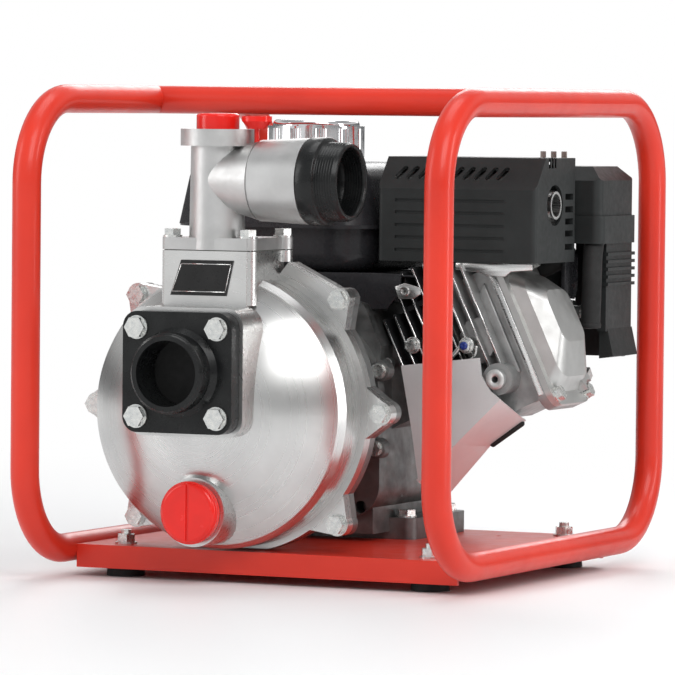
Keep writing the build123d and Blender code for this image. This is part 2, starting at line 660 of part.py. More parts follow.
def flywheel():
    solid = turned([(12, 340), (22, 340), (30, 346), (70, 346), (74, 350), (74, 366), (12, 366)])
    for i in range(16):
        vane = Box(14, 8, 2.4)
        solid += Pos(PUMP_X, back(370), CRANK_Z) * Rot(0, i * 22.5, 0) * Pos(60, 0, 0) * vane
    return solid


def piston():
    place = cyl_frame(116, 0, CYL_BACK)
    body = place * (Cylinder(29.95, 42) - Pos(0, 0, -5) * Cylinder(25, 34))
    return body + place * Pos(0, 0, -4) * Rot(90, 0, 0) * Cylinder(7, 56)


def fan_housing():
    """Blower housing: round around the flywheel, with a duct up to the cylinder."""
    wall = 3.0
    solid = fan_outline(0, FAN_FRONT, FAN_REAR) - fan_outline(wall, FAN_FRONT + wall, FAN_REAR - wall)
    solid -= rod_y(PUMP_X, CRANK_Z, FAN_FRONT - 5, FAN_FRONT + 5, 30)
    return solid - rod_y(PUMP_X, CRANK_Z, FAN_REAR - 5, FAN_REAR + 5, 60)


def fan_outline(inset, b0, b1):
    top = 226 - CRANK_Z - inset
    outline = Circle(FAN_R - inset) + Pos(4, top / 2) * Rectangle(132 - 2 * inset, top)
    return Pos(PUMP_X, back(b1), CRANK_Z) * Rot(90, 0, 0) * extrude(outline, b1 - b0)


def recoil_cover():
    """Pull-starter cover with air slots and the rope's exit at the upper left."""
    solid = turned([(0, FAN_REAR), (RECOIL_R + 6, FAN_REAR), (RECOIL_R + 6, FAN_REAR + 3), (RECOIL_R,
                                                                                            FAN_REAR + 4),
                    (RECOIL_R - 4, RECOIL_REAR - 5), (RECOIL_R - 12, RECOIL_REAR), (0, RECOIL_REAR)])
    solid -= turned([(0, FAN_REAR - 1), (RECOIL_R - 4, FAN_REAR - 1), (RECOIL_R - 10, RECOIL_REAR - 4),
                     (0, RECOIL_REAR - 4)])
    for i in range(18):
        slot = Pos(44, 0, 0) * SlotOverall(22, 5)
        cut = extrude(slot, 8)
        solid -= Pos(PUMP_X, back(RECOIL_REAR + 3), CRANK_Z) * Rot(90, 0, 0) * Rot(0, 0, i * 20 + 10) * cut
    solid += rod_y(PUMP_X, CRANK_Z, RECOIL_REAR - 13, RECOIL_REAR - 3, 5.0)
    return solid - grip_frame() * Pos(0, 0, -8) * Cylinder(3.5, 28)


def recoil_pulley():
    solid = turned([(5 + RUNNING, 399), (30, 399), (30, 400.5), (26, 402.5), (30, 404.5), (30, 406),
                    (5 + RUNNING, 406)])
    return solid


def grip_frame():
    """Where the starter rope leaves: upper left of the cover, pulling up and outwards."""
    return Pos(PUMP_X - 54.0, back(406.5), CRANK_Z + 54.0) * Rot(0, -45, 0)


def recoil_grip():
    bar = Pos(0, 0, 13) * Rot(0, 90, 0) * Cylinder(7.0, 28)
    stem = Pos(0, 0, 5) * Cone(3.4, 7, 8)
    rope = Pos(0, 0, -4) * Cylinder(2.2, 16)
    return grip_frame() * Pos(0, 0, 6) * (bar + stem + rope)


def muffler():
    can = block(36, 148, 224, 288, 254, 318)
    can = fillet(can.edges().filter_by(Axis.X), 16)
    can -= block(38, 146, 240, 272, 270, 302)
    can += rod_x(254, 291, 147, 161, 11)
    can -= rod_x(254, 291, 143, 162, 9)
    return can + block(78, 106, 250, 270, 236, 256)


def muffler_guard():
    """Black shell over the muffler: ribbed front, slanted vent strip, slotted end with the outlet."""
    outer = Polyline((back(215), 246), (back(215), 303), (back(235), 328), (back(298), 328), (back(298), 246),
                     close=True)
    inner = Polyline((back(218), 240), (back(218), 302), (back(236.5), 325), (back(301), 325),
                     (back(301), 240),
                     close=True)
    solid = Pos(25, 0, 0) * extrude(Plane.YZ * make_face(outer), 135)
    solid = fillet(solid.edges().filter_by(Axis.Z), 4)
    solid -= Pos(28, 0, 0) * extrude(Plane.YZ * make_face(inner), 129)
    for z in (255, 265, 274.6, 284.5, 294):
        solid -= block(40, 133, 214, 216.2, z - 1.2, z + 1.2)
    for i in range(10):
        x = 41 + i * 9.65
        slot = extrude(SlotOverall(14, 5), 12, both=True)
        tilt = Pos(x, back(225), 315.5) * Rot(51, 0, 0) * Rot(0, 0, 62) * slot
        solid -= tilt
    solid -= rod_x(254, 291, 150, 170, 16)
    for z in (258, 268.5, 278, 287.5, 297.5):
        solid -= block(150, 170, 275, 291, z - 2.4, z + 2.4)
    for i in range(6):
        bar = Pos(139 + i * 3.3, back(262), 326) * Rot(0, 0, 30) * Box(1.7, 50, 12)
        solid -= bar
    return solid


def shell_box(x0, x1, b0, b1, z0, z1, top_chamfer, side_radius, wall):
    """Moulded box open below, with chamfered top edges."""
    outer = block(x0, x1, b0, b1, z0, z1)
    outer = chamfer(outer.edges().group_by(Axis.Z)[-1], top_chamfer)
    outer = fillet(outer.edges().filter_by(Axis.Z), side_radius)
    inner = block(x0 + wall, x1 - wall, b0 + wall, b1 - wall, z0 - 1, z1 - wall)
    return outer - chamfer(inner.edges().group_by(Axis.Z)[-1], top_chamfer)


def air_cleaner_cover():
    cover = shell_box(92, 175, 311, 384, 282, 321, 11, 7, 2.5)
    return cover - rod_z(133, 347, 300, 330, 4.1)


def air_cleaner_base():
    tray = block(90, 177, 309, 386, 260, 282)
    tray = fillet(tray.edges().filter_by(Axis.Z), 8)
    tray -= block(94, 173, 313, 382, 263, 283)
    tray += rod_z(133, 347, 262, 318, 4.0)
    return tray - rod_z(CARB_X, 368, 255, 265, 12.6)


def filter_element():
    sleeve = block(100, 167, 319, 376, 263.4, 308)
    sleeve = fillet(sleeve.edges().filter_by(Axis.Z), 14)
    return sleeve - block(114, 153, 333, 362, 263, 309)


def intake_elbow():
    """Black pipe from the carburettor's mouth up into the air cleaner."""
    tube = rod_y(CARB_X, CARB_Z, 343, 368, 15) + rod_z(CARB_X, 368, CARB_Z, 262.5, 12.5)
    tube += Pos(CARB_X, back(368), CARB_Z) * Sphere(15)
    tube -= rod_z(CARB_X, 368, CARB_Z, 270, 10)
    return tube - rod_y(CARB_X, CARB_Z, 340, 368, 10)


def carburettor():
    body = block(97, 146, 309, 340, 179, 214)
    body = fillet(body.edges().filter_by(Axis.Y), 6)
    body += rod_z(122, 324, 157, 181, 17)
    body += rod_y(CARB_X, CARB_Z, 299.2, 343, 14)
    body += rod_x(*CHOKE_PIVOT, 140, 152, 5) + rod_x(*CHOKE_PIVOT, 150, 155.2, 2)
    body += rod_x(*FUEL_PIVOT, 132, 152, 5.3) + rod_x(*FUEL_PIVOT, 150, 155.2, 2)
    return body - rod_y(CARB_X, CARB_Z, 295, 350, 9)


def side_panel():
    """Ribbed black panel that hangs below the air cleaner and flares at its foot."""
    panel = block(166, 173, 330, 384, 190, 260)
    for i in range(5):
        panel += block(165, 175, 329, 386, 226 + i * 6, 228.6 + i * 6)
    flare = Polyline((166, 192), (173, 192), (178, 170), (166, 168), close=True)
    panel += Pos(0, back(334), 0) * extrude(Plane.XZ * make_face(flare), -52)
    panel += block(126, 168, 380, 384, 168, 260)
    return panel


def fuel_tank():
    lower = fillet(block(-150, 16, 208, 388, 236, 272).edges().filter_by(Axis.Z), 34)
    lower = fillet(lower.edges().group_by(Axis.Z)[0], 14)
    outline = Pos(-69, back(298), 272) * RectangleRounded(174, 186, 30)
    upper = extrude(outline, 50, taper=TANK_DRAFT)
    upper = fillet(upper.edges().group_by(Axis.Z)[-1], 16)
    seam = fillet(block(-157, 23, 201, 395, 270.6, 273.4).edges().filter_by(Axis.Z), 40)
    solid = lower + upper + seam + rod_z(CAP_X, CAP_BACK, 315, 326, 30)
    cavity = fillet(block(-144, 10, 214, 382, 239, 272).edges().filter_by(Axis.Z), 28)
    cavity += extrude(Pos(-69, back(298), 271.9) * RectangleRounded(166, 178, 26), 46, taper=TANK_DRAFT)
    solid -= cavity
    return solid - rod_z(CAP_X, CAP_BACK, 300, 330, 24)


def fuel_cap():
    """Plated cap with a scalloped skirt."""
    cap = rod_z(CAP_X, CAP_BACK, 326.4, 351, 39)
    for i in range(12):
        angle = radians(i * 30)
        notch = Pos(CAP_X + 43 * cos(angle), back(CAP_BACK) + 43 * sin(angle), 337) * Cylinder(6.5, 24)
        cap -= notch
    crown = rod_z(CAP_X, CAP_BACK, 349, 356, 35)
    crown = fillet(crown.edges().group_by(Axis.Z)[-1], 4)
    cap = cap + crown + rod_z(CAP_X, CAP_BACK, 312, 327, 23.6)
    return cap - rod_z(CAP_X, CAP_BACK, 310, 345, 20)


def ignition_lead():
    """High-tension lead from the plug cap back to the coil inside the blower housing."""
    start = (spark_place() * Pos(0, 7.6, 57)).position
    path = FilletPolyline((start.X, start.Y, start.Z), (start.X, back(345), start.Z), (100, back(348), 240),
                          (62, back(352), 219), (35.2, back(352), 214), radius=[16, 100, 72])
    return sweep(Plane(path @ 0, z_dir=path % 0) * Circle(2.5), path)


def lever(axis_x, b, z, reach, angle):
    """Flat lever on a pivot along X, with a tab at its end."""
    arm = extrude(SlotCenterToCenter(reach, 9), 2.4)
    arm -= Pos(-reach / 2, 0, 0) * Cylinder(2.0 + RUNNING, 10)
    tab = Pos(reach / 2, 0, 4) * Box(9, 7, 6)
    return Pos(axis_x, back(b), z) * Rot(0, 90, 0) * Rot(0, 0, angle) * Pos(reach / 2, 0, 0) * (arm + tab)


def choke_lever():
    return lever(152.4, *CHOKE_PIVOT, 26, 140)


def fuel_lever():
    return lever(152.4, *FUEL_PIVOT, 22, 40)


def engine_switch():
    disc = rod_y(22, 211, FAN_REAR + 0.3, FAN_REAR + 7, 9)
    return disc + block(20, 24, FAN_REAR + 6, FAN_REAR + 12, 203, 219)


def dipstick_axis():
    return Pos(-112, back(262), 62) * Rot(0, -60, 0)


def oil_dipstick():
    head = Pos(0, 0, 12) * Cylinder(13, 8)
    neck = Pos(0, 0, 2) * Cylinder(9.0, 14)
    return dipstick_axis() * (head + neck + Pos(0, 0, -14) * Cylinder(2.5, 26))


def engine_bolts():
    bolts = []
    for x, b in ENGINE_BOLTS:
        bolts.append(Pos(x, back(b), PLATE_TOP + 17) * hex_bolt(13.0, 6.0, 4.0, 24))
    return group(bolts)


PARTS = {
    "left_hoop": lambda: hoop(-1),
    "right_hoop": lambda: hoop(1),
    "cross_tube": cross_tube,
    "base_plate": base_plate,
    "rubber_feet": rubber_feet,
    "foot_bolts": foot_bolts,
    "pump_casing": pump_casing,
    "casing_adapter": casing_adapter,
    "casing_o_ring": casing_o_ring,
    "casing_bolts": casing_bolts,
    "suction_gasket": suction_gasket,
    "suction_flange": suction_flange,
    "suction_bolts": suction_bolts,
    "check_flap": check_flap,
    "drain_plug": drain_plug,
    "name_badge": badge,
    "riser_gasket": riser_gasket,
    "riser_elbow": riser_elbow,
    "riser_bolts": riser_bolts,
    "discharge_nipple": discharge_nipple,
    "filler_cap": filler_cap,
    "vent_knob": vent_knob,
    "volute_insert": volute_insert,
    "impeller": impeller,
    "seal_seat": seal_seat,
    "seal_ring": seal_ring,
    "adapter_bolts": adapter_bolts,
    "crankcase": crankcase,
    "side_cover": side_cover,
    "engine_cover_bolts": engine_cover_bolts,
    "cylinder": cylinder,
    "head_gasket": head_gasket,
    "cylinder_head": cylinder_head,
    "valve_cover": valve_cover,
    "cylinder_shroud": cylinder_shroud,
    "spark_plug": spark_plug,
    "plug_cap": plug_cap,
    "ignition_lead": ignition_lead,
    "crankshaft": crankshaft,
    "flywheel": flywheel,
    "piston": piston,
    "fan_housing": fan_housing,
    "recoil_cover": recoil_cover,
    "recoil_pulley": recoil_pulley,
    "recoil_grip": recoil_grip,
    "muffler": muffler,
    "muffler_guard": muffler_guard,
    "air_cleaner_cover": air_cleaner_cover,
    "air_cleaner_base": air_cleaner_base,
    "filter_element": filter_element,
    "intake_elbow": intake_elbow,
    "carburettor": carburettor,
    "side_panel": side_panel,
    "fuel_tank": fuel_tank,
    "fuel_cap": fuel_cap,
    "choke_lever": choke_lever,
    "fuel_lever": fuel_lever,
    "engine_switch": engine_switch,
    "oil_dipstick": oil_dipstick,
    "engine_bolts": engine_bolts,
}

os.makedirs("parts", exist_ok=True)
for part_name, make in PARTS.items():
    save(part_name, make())
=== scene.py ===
import json
from math import cos, pi, radians, sin

import bmesh
import bpy
from mathutils import Matrix, Vector


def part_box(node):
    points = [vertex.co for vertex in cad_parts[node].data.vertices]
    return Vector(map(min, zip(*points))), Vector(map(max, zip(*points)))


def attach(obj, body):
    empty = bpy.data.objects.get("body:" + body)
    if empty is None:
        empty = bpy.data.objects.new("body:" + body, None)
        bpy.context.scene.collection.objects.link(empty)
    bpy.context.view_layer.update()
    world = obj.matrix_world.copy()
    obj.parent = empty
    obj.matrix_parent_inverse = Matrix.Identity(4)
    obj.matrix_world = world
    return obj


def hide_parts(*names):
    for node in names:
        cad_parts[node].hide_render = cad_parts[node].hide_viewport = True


# Looks of the gas engine trash pump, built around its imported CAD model.
# Metres, +Z up, -Y towards the suction mouth, +X towards the discharge mouth.

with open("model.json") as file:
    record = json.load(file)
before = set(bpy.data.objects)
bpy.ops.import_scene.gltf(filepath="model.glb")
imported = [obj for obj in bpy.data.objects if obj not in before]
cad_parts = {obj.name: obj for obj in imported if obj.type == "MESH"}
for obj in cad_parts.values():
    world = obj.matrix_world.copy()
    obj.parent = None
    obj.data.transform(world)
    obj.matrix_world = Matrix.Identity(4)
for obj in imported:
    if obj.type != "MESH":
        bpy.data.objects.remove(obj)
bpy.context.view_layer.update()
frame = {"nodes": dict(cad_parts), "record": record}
NODES = frame["nodes"]

# ---------------------------------------------------------------- places taken from the CAD
FRONT_Y = -0.20155          # middle of the front legs
PUMP_X = -0.035
CRANK_Z = 0.133
SUCTION_Z = 0.165
ELBOW_Z = 0.310
RISER_BACK = 0.051
THREAD_R = 0.03015
THREAD_PITCH = 0.0022
CREST_START = 0.36          # where a ridge's flat top starts and ends, in pitches
CREST_END = 0.56
CYL_TILT = radians(25)      # the cylinder leans out of the upright towards +X and lies this far above level
FIRST_FIN = 0.087
FIN_PITCH = 0.0097
FIN_T = 0.0024
FIN_TOPS = (0.032, 0.032, 0.060, 0.060, 0.060, 0.060, 0.046, 0.046, 0.046)
FIN_FOOT = -0.047
FIN_FRONT = 0.215
BOSS_X = 0.1305
BOSS_Z = 0.1555
HEAD_FRONT = 0.2292
NUT_SEAT = 0.2135           # where the nuts on the head sit, behind the front legs
HOOP_X = 0.173
TUBE_R = 0.0111
TOP_Z = 0.371
AXIS_R = 0.0001             # nearly nothing: the middle of a turned solid's flat ends
CROSS_BACK = 0.220

CARB_SCREWS = (             # distance back, height, radius, length, brass or plated
    (0.3045, 0.1930, 0.0036, 0.0042, True),
    (0.3125, 0.1895, 0.0027, 0.0034, False),
    (0.3050, 0.1835, 0.0024, 0.0030, False),
)

CAMERA_PLACE = (1.8066, -3.89215, 0.3707)
CAMERA_AZIMUTH = radians(24.93)
CAMERA_PITCH = radians(2.479)
CAMERA_ROLL = radians(0.549)
CAMERA_LENS = 290.56
MAIN_BODY = "body"


RIGHTWARDS = (1, 0, 0)
REARWARDS = (0, 1, 0)
FORWARDS = (0, -1, 0)
UPWARDS = (0, 0, 1)


def back(distance):
    """Y of a point that far behind the front legs."""
    return FRONT_Y + distance


# ---------------------------------------------------------------- camera, floor, light
def make_camera():
    forward = Vector((
        -sin(CAMERA_AZIMUTH) * cos(CAMERA_PITCH),
        cos(CAMERA_AZIMUTH) * cos(CAMERA_PITCH),
        -sin(CAMERA_PITCH),
    ))
    right = Vector((cos(CAMERA_AZIMUTH), sin(CAMERA_AZIMUTH), 0))
    up = right.cross(forward)
    side = right * cos(CAMERA_ROLL) + up * sin(CAMERA_ROLL)
    top = -right * sin(CAMERA_ROLL) + up * cos(CAMERA_ROLL)
    data = bpy.data.cameras.new("camera")
    data.lens = CAMERA_LENS
    data.sensor_width = 36
    data.clip_start = 0.1
    data.clip_end = 60
    camera = bpy.data.objects.new("camera", data)
    columns = Matrix((side, top, -forward)).transposed()
    camera.matrix_world = Matrix.Translation(CAMERA_PLACE) @ columns.to_4x4()
    bpy.context.scene.collection.objects.link(camera)
    bpy.context.scene.camera = camera


def make_floor():
    """A pale disc that fades into the white paper round it, so no horizon shows."""
    bpy.ops.mesh.primitive_circle_add(vertices=96, radius=30, fill_type="NGON", location=(0, 0, -0.0004))
    floor = bpy.context.object
    floor.name = "floor"
    surface = bpy.data.materials.new("floor")
    surface.use_nodes = True
    tree = surface.node_tree
    shader = tree.nodes["Principled BSDF"]
    shader.inputs["Base Color"].default_value = (0.88, 0.88, 0.885, 1)
    shader.inputs["Roughness"].default_value = 0.5
    place = tree.nodes.new("ShaderNodeTexCoord")
    length = tree.nodes.new("ShaderNodeVectorMath")
    length.operation = "LENGTH"
    tree.links.new(place.outputs["Object"], length.inputs[0])
    fade = tree.nodes.new("ShaderNodeMapRange")
    fade.interpolation_type = "SMOOTHSTEP"
    fade.inputs["From Min"].default_value = 0.32
    fade.inputs["From Max"].default_value = 1.5
    tree.links.new(length.outputs["Value"], fade.inputs["Value"])
    paper = tree.nodes.new("ShaderNodeEmission")
    paper.inputs["Strength"].default_value = 1.0
    mix = tree.nodes.new("ShaderNodeMixShader")
    tree.links.new(fade.outputs["Result"], mix.inputs[0])
    tree.links.new(shader.outputs[0], mix.inputs[1])
    tree.links.new(paper.outputs[0], mix.inputs[2])
    tree.links.new(mix.outputs[0], tree.nodes["Material Output"].inputs["Surface"])
    floor.data.materials.append(surface)


def make_world():
    """White paper for the camera; for reflections a bright card in front and a darker horizon."""
    world = bpy.data.worlds.new("studio")
    world.use_nodes = True
    tree = world.node_tree
    tree.nodes.clear()
    out = tree.nodes.new("ShaderNodeOutputWorld")
    sky = tree.nodes.new("ShaderNodeBackground")
    place = tree.nodes.new("ShaderNodeTexCoord")
    split = tree.nodes.new("ShaderNodeSeparateXYZ")
    ramp = tree.nodes.new("ShaderNodeValToRGB")
    stops = ramp.color_ramp.elements
    stops[0].position, stops[0].color = 0.0, (0.16, 0.165, 0.17, 1)
    stops[1].position, stops[1].color = 1.0, (0.62, 0.63, 0.65, 1)
    for height, grey in ((0.12, 0.20), (0.26, 0.72), (0.42, 0.90), (0.62, 0.42)):
        stop = stops.new(height)
        stop.color = (grey, grey, grey, 1)
    tree.links.new(place.outputs["Generated"], split.inputs[0])
    tree.links.new(split.outputs["Z"], ramp.inputs[0])
    facing = tree.nodes.new("ShaderNodeVectorMath")
    facing.operation = "DOT_PRODUCT"
    facing.inputs[1].default_value = (-0.42, -0.90, 0.0)
    tree.links.new(place.outputs["Generated"], facing.inputs[0])
    front = tree.nodes.new("ShaderNodeMapRange")
    front.interpolation_type = "SMOOTHSTEP"
    front.inputs["From Min"].default_value = 0.45
    front.inputs["From Max"].default_value = 0.95
    tree.links.new(facing.outputs["Value"], front.inputs["Value"])
    card = tree.nodes.new("ShaderNodeMix")
    card.data_type = "RGBA"
    card.inputs["B"].default_value = (0.80, 0.81, 0.82, 1)
    tree.links.new(front.outputs["Result"], card.inputs["Factor"])
    tree.links.new(ramp.outputs[0], card.inputs["A"])
    tree.links.new(card.outputs["Result"], sky.inputs["Color"])
    sky.inputs["Strength"].default_value = 0.8
    paper = tree.nodes.new("ShaderNodeBackground")
    paper.inputs["Color"].default_value = (1, 1, 1, 1)
    paper.inputs["Strength"].default_value = 1.0
    ray = tree.nodes.new("ShaderNodeLightPath")
    mix = tree.nodes.new("ShaderNodeMixShader")
    tree.links.new(ray.outputs["Is Camera Ray"], mix.inputs[0])
    tree.links.new(sky.outputs[0], mix.inputs[1])
    tree.links.new(paper.outputs[0], mix.inputs[2])
    tree.links.new(mix.outputs[0], out.inputs["Surface"])
    bpy.context.scene.world = world
    bpy.context.scene.view_settings.view_transform = "Standard"


def softbox(name, place, target, size, power):
    data = bpy.data.lights.new(name, "AREA")
    data.shape = "RECTANGLE"
    data.size, data.size_y = size
    data.energy = power
    light = bpy.data.objects.new(name, data)
    light.location = place
    aim = Vector(target) - Vector(place)
    light.rotation_euler = aim.to_track_quat("-Z", "Y").to_euler()
    bpy.context.scene.collection.objects.link(light)


def make_lights():
    middle = (0, 0, 0.18)
    softbox("key", (1.5, -1.6, 1.9), middle, (1.5, 1.5), 32)
    softbox("left_fill", (-1.9, -1.4, 1.0), middle, (0.8, 1.6), 13)
    softbox("right_strip", (2.1, 0.3, 0.7), middle, (0.4, 1.4), 11)
    softbox("top", (0, 0.2, 2.4), middle, (1.4, 1.4), 15)
    softbox("rear", (-0.6, 2.1, 1.3), middle, (1.2, 1.0), 14)


# ---------------------------------------------------------------- materials
class Surface:
    """A Principled material with a few node helpers."""

    def __init__(self, name, color, metallic, roughness):
        self.material = bpy.data.materials.new(name)
        self.material.use_nodes = True
        self.tree = self.material.node_tree
        self.shader = self.tree.nodes["Principled BSDF"]
        self.shader.inputs["Base Color"].default_value = (*color, 1)
        self.shader.inputs["Metallic"].default_value = metallic
        self.shader.inputs["Roughness"].default_value = roughness
        self.normal = None

    def node(self, kind, **values):
        node = self.tree.nodes.new(kind)
        for key, value in values.items():
            setattr(node, key, value)
        return node

    def link(self, source, target):
        self.tree.links.new(source, target)

    def position(self, scale=(1, 1, 1), turn=(0, 0, 0)):
        """Object coordinates, stretched and turned."""
        coordinates = self.node("ShaderNodeTexCoord")
        mapping = self.node("ShaderNodeMapping")
        mapping.inputs["Scale"].default_value = scale
        mapping.inputs["Rotation"].default_value = turn
        self.link(coordinates.outputs["Object"], mapping.inputs["Vector"])
        return mapping.outputs["Vector"]

    def noise(self, scale, detail=4.0, vector=None, roughness=0.55):
        noise = self.node("ShaderNodeTexNoise")
        noise.inputs["Scale"].default_value = scale
        noise.inputs["Detail"].default_value = detail
        noise.inputs["Roughness"].default_value = roughness
        self.link(self.position() if vector is None else vector, noise.inputs["Vector"])
        return noise.outputs["Fac"]

    def spread(self, source, low, high, start=0.3, end=0.7):
        """Map the middle of a pattern to a range of numbers."""
        ramp = self.node("ShaderNodeMapRange")
        ramp.inputs["From Min"].default_value = start
        ramp.inputs["From Max"].default_value = end
        ramp.inputs["To Min"].default_value = low
        ramp.inputs["To Max"].default_value = high
        self.link(source, ramp.inputs["Value"])
        return ramp.outputs["Result"]

    def rough(self, source, low, high, start=0.3, end=0.7):
        self.link(self.spread(source, low, high, start, end), self.shader.inputs["Roughness"])

    def tint(self, source, low, high, start=0.3, end=0.7):
        """Base colour runs from one colour to another with a pattern."""
        mix = self.node("ShaderNodeMix", data_type="RGBA")
        self.link(self.spread(source, 0, 1, start, end), mix.inputs["Factor"])
        mix.inputs["A"].default_value = (*low, 1)
        mix.inputs["B"].default_value = (*high, 1)
        self.link(mix.outputs["Result"], self.shader.inputs["Base Color"])
        return mix

    def bump(self, source, distance, strength=1.0):
        bump = self.node("ShaderNodeBump")
        bump.inputs["Strength"].default_value = strength
        bump.inputs["Distance"].default_value = distance
        self.link(source, bump.inputs["Height"])
        if self.normal is not None:
            self.link(self.normal, bump.inputs["Normal"])
        self.normal = bump.outputs["Normal"]
        self.link(self.normal, self.shader.inputs["Normal"])

    def gloss(self, level):
        self.shader.inputs["Specular IOR Level"].default_value = level

    def coat(self, weight, roughness):
        self.shader.inputs["Coat Weight"].default_value = weight
        self.shader.inputs["Coat Roughness"].default_value = roughness

    def rings(self, centre, turn, scale):
        """Fine concentric noise around an axis: the pattern depends on the distance from it."""
        moved = self.node("ShaderNodeMapping")
        coordinates = self.node("ShaderNodeTexCoord")
        moved.vector_type = "TEXTURE"
        moved.inputs["Location"].default_value = centre
        moved.inputs["Rotation"].default_value = turn
        self.link(coordinates.outputs["Object"], moved.inputs["Vector"])
        split = self.node("ShaderNodeSeparateXYZ")
        self.link(moved.outputs["Vector"], split.inputs[0])
        flat = self.node("ShaderNodeCombineXYZ")
        self.link(split.outputs["X"], flat.inputs["X"])
        self.link(split.outputs["Y"], flat.inputs["Y"])
        length = self.node("ShaderNodeVectorMath", operation="LENGTH")
        self.link(flat.outputs[0], length.inputs[0])
        line = self.node("ShaderNodeCombineXYZ")
        self.link(length.outputs["Value"], line.inputs["X"])
        self.link(split.outputs["Z"], line.inputs["Y"])
        noise = self.node("ShaderNodeTexNoise")
        noise.inputs["Scale"].default_value = scale
        noise.inputs["Detail"].default_value = 5.0
        self.link(line.outputs[0], noise.inputs["Vector"])
        return noise.outputs["Fac"]


def red_enamel():
    paint = Surface("red_enamel", (0.68, 0.034, 0.016), 0.0, 0.36)
    paint.tint(paint.noise(9, 3), (0.62, 0.029, 0.014), (0.74, 0.040, 0.019))
    paint.rough(paint.noise(60, 5), 0.30, 0.42)
    paint.bump(paint.noise(420, 2), 0.00005, 0.4)
    paint.gloss(0.3)
    paint.coat(0.18, 0.12)
    return paint.material


def polished_casting():
    """Machine-polished aluminium: faint rings around the crank axis and a soft cast unevenness."""
    metal = Surface("polished_casting", (0.62, 0.62, 0.61), 1.0, 0.3)
    rings = metal.rings((PUMP_X, 0, CRANK_Z), (radians(90), 0, 0), 420)
    metal.rough(rings, 0.265, 0.295)
    metal.tint(metal.noise(16, 4), (0.55, 0.55, 0.545), (0.68, 0.68, 0.67))
    metal.bump(metal.noise(28, 3), 0.0009, 0.22)
    return metal.material


def bead_blasted():
    """Fine soft casting of the riser and its branch."""
    metal = Surface("bead_blasted", (0.54, 0.54, 0.535), 1.0, 0.42)
    metal.tint(metal.noise(28, 4), (0.48, 0.48, 0.475), (0.60, 0.60, 0.595))
    metal.rough(metal.noise(210, 4), 0.38, 0.48)
    metal.bump(metal.noise(1300, 2), 0.00004, 0.5)
    return metal.material


def sand_casting(name, dark, light, roughness=(0.38, 0.58), grain=900, depth=0.00022):
    metal = Surface(name, light, 1.0, roughness[0])
    metal.tint(metal.noise(34, 5), dark, light)
    metal.rough(metal.noise(130, 4), *roughness)
    metal.bump(metal.noise(grain, 3), depth, 0.6)
    metal.bump(metal.noise(70, 3), 0.0004, 0.3)
    return metal.material


def satin_sheet():
    """Bright die-cast cover, half matt, so it stays pale whatever stands before it."""
    metal = Surface("satin_sheet", (0.74, 0.75, 0.75), 0.35, 0.34)
    metal.tint(metal.noise(22, 4), (0.70, 0.71, 0.71), (0.79, 0.80, 0.80))
    metal.rough(metal.noise(150, 4), 0.30, 0.40)
    metal.bump(metal.noise(1000, 2), 0.00004, 0.5)
    return metal.material


def pale_face():
    """Faced boss: pale and half matt."""
    metal = Surface("pale_face", (0.60, 0.61, 0.60), 0.4, 0.4)
    metal.tint(metal.noise(300, 4), (0.52, 0.53, 0.52), (0.66, 0.67, 0.66))
    metal.rough(metal.noise(400, 3), 0.34, 0.48)
    return metal.material


def head_casting():
    """Grainy grey casting of the cylinder head."""
    metal = Surface("head_casting", (0.34, 0.345, 0.34), 0.6, 0.45)
    metal.tint(metal.noise(40, 5), (0.22, 0.225, 0.225), (0.42, 0.425, 0.42))
    metal.rough(metal.noise(130, 4), 0.38, 0.55)
    metal.bump(metal.noise(620, 3), 0.00018, 0.6)
    return metal.material


def brushed(name, color, roughness=(0.22, 0.38), turn=(0, 0, 0), stretch=(1, 1, 60)):
    metal = Surface(name, color, 1.0, roughness[0])
    streaks = metal.noise(30, 5, metal.position(stretch, turn))
    metal.rough(streaks, *roughness)
    darker = tuple(c * 0.82 for c in color)
    metal.tint(metal.noise(40, 4), darker, color)
    metal.bump(streaks, 0.00004, 0.5)
    return metal.material


def zinc_plate():
    metal = Surface("zinc_plate", (0.74, 0.75, 0.74), 1.0, 0.25)
    metal.tint(metal.noise(260, 4), (0.58, 0.60, 0.60), (0.80, 0.80, 0.77))
    metal.rough(metal.noise(400, 4), 0.18, 0.42)
    metal.bump(metal.noise(700, 3), 0.00008, 0.5)
    return metal.material


def black_coat():
    """Satin electro-coat on cast iron."""
    paint = Surface("black_coat", (0.012, 0.012, 0.013), 0.0, 0.3)
    paint.tint(paint.noise(50, 4), (0.004, 0.0045, 0.005), (0.012, 0.013, 0.013))
    paint.rough(paint.noise(160, 4), 0.22, 0.38)
    paint.bump(paint.noise(650, 3), 0.00018, 0.55)
    paint.bump(paint.noise(90, 3), 0.0003, 0.4)
    paint.gloss(0.25)
    paint.coat(0.08, 0.12)
    return paint.material


def moulded(name, color, roughness=(0.42, 0.56), grain=1500, depth=0.00008):
    """Moulded plastic with a fine spark-eroded grain."""
    plastic = Surface(name, color, 0.0, roughness[0])
    plastic.gloss(0.28)
    lighter = tuple(c * 1.35 + 0.002 for c in color)
    plastic.tint(plastic.noise(45, 4), color, lighter)
    plastic.rough(plastic.noise(200, 4), *roughness)
    plastic.bump(plastic.noise(grain, 2), depth, 0.6)
    return plastic.material


def gloss_plastic(name, color):
    plastic = Surface(name, color, 0.0, 0.2)
    plastic.tint(plastic.noise(30, 3), tuple(c * 0.86 for c in color), color)
    plastic.rough(plastic.noise(120, 4), 0.14, 0.28)
    plastic.bump(plastic.noise(240, 2), 0.00005, 0.4)
    plastic.gloss(0.3)
    plastic.coat(0.25, 0.05)
    return plastic.material


